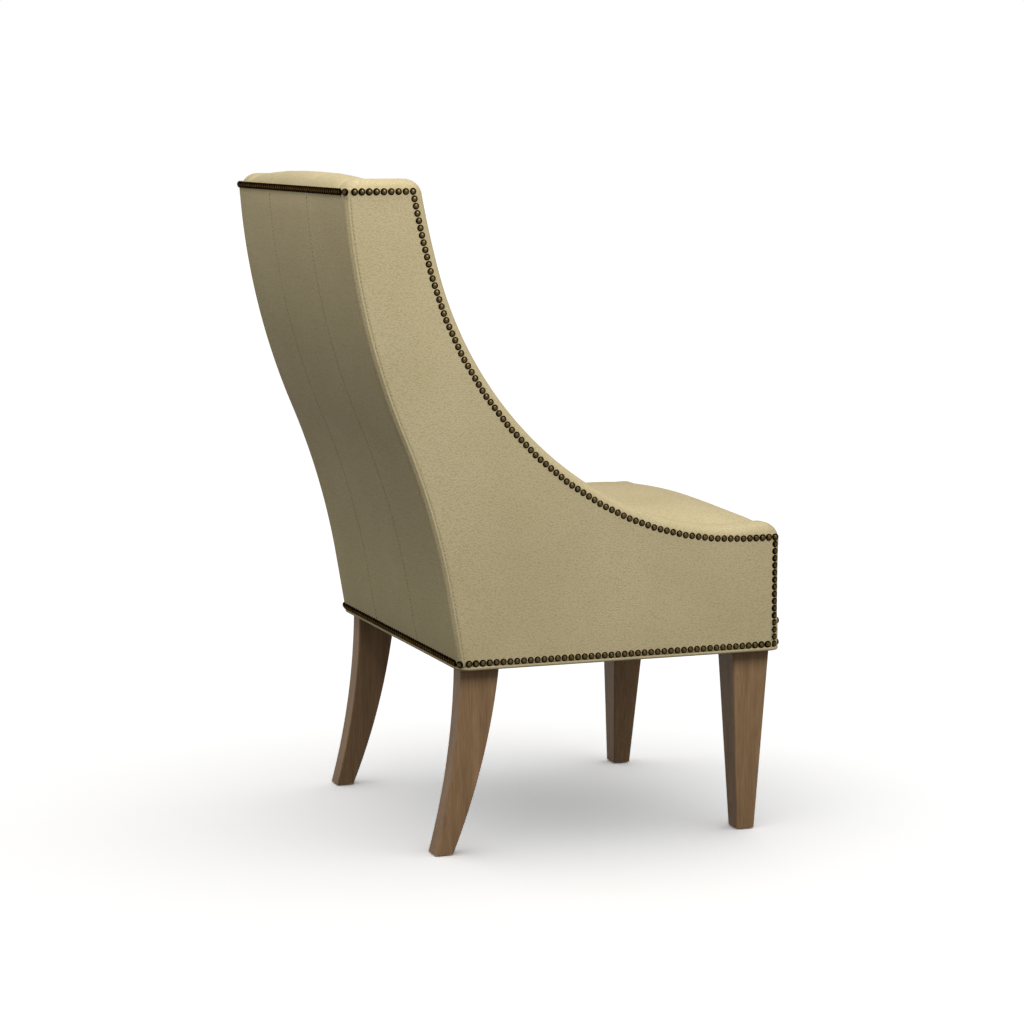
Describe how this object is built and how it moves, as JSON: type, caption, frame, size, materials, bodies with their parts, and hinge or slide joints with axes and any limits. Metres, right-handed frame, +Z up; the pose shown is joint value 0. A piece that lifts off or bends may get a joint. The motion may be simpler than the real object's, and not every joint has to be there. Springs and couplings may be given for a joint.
{
  "type": "leather dining chair",
  "caption": "Upholstered leather host chair: tall swept back flowing into low sloping arms, tight crowned seat, nailhead trim and tapered wooden legs.",
  "frame": {"origin": "middle of the overall box, on the floor under the feet", "axes": "+Z up, -Y the way the sitter faces, +X to the sitter's left"},
  "size_m": [0.6052, 0.7186, 1.042],
  "materials": {
    "leather": "soft semi-matt, fine pebble grain, khaki tan",
    "antique_brass": "dark antique, satin domes",
    "walnut": "satin walnut stain with fine upright grain",
    "plywood": "raw plywood",
    "hardwood": "raw hardwood",
    "foam": "matt polyurethane foam",
    "wadding": "matt polyester wadding",
    "webbing": "matt woven elastic webbing",
    "dust_cloth": "matt black non-woven cloth",
    "glide_plastic": "matt",
    "zinc_steel": "zinc plated"
  },
  "bodies": {
    "root": {"back_foam": "foam", "back_wadding": "wadding", "back_webbing": "webbing", "base_nails": "antique_brass", "base_welt": "leather", "crest_rail": "hardwood", "cross_straps": "webbing", "dust_cover": "dust_cloth", "foot_glides": "glide_plastic", "front_band": "leather", "front_band_nails": "antique_brass", "front_base_nails": "antique_brass", "front_corner_block_left": "hardwood", "front_corner_block_right": "hardwood", "front_leg_left": "walnut", "front_leg_right": "walnut", "front_rail": "hardwood", "front_wadding": "wadding", "inside_back_centre": "leather", "inside_back_left": "leather", "inside_back_right": "leather", "leg_bolts": "zinc_steel", "lower_back_rail": "hardwood", "outside_back_centre": "leather", "outside_back_left": "leather", "outside_back_right": "leather", "rear_corner_block_left": "hardwood", "rear_corner_block_right": "hardwood", "rear_leg_left": "walnut", "rear_leg_right": "walnut", "rear_rail": "hardwood", "seat_cover": "leather", "seat_foam": "foam", "seat_straps": "webbing", "side_frame_left": "plywood", "side_frame_right": "plywood", "side_nails_left": "antique_brass", "side_nails_right": "antique_brass", "side_panel_left": "leather", "side_panel_right": "leather", "side_rail_left": "hardwood", "side_rail_right": "hardwood", "side_wadding_left": "wadding", "side_wadding_right": "wadding", "top_nails": "antique_brass", "wing_cover_left": "leather", "wing_cover_right": "leather", "wing_foam_left": "foam", "wing_foam_right": "foam"}
  },
  "joints": []
}
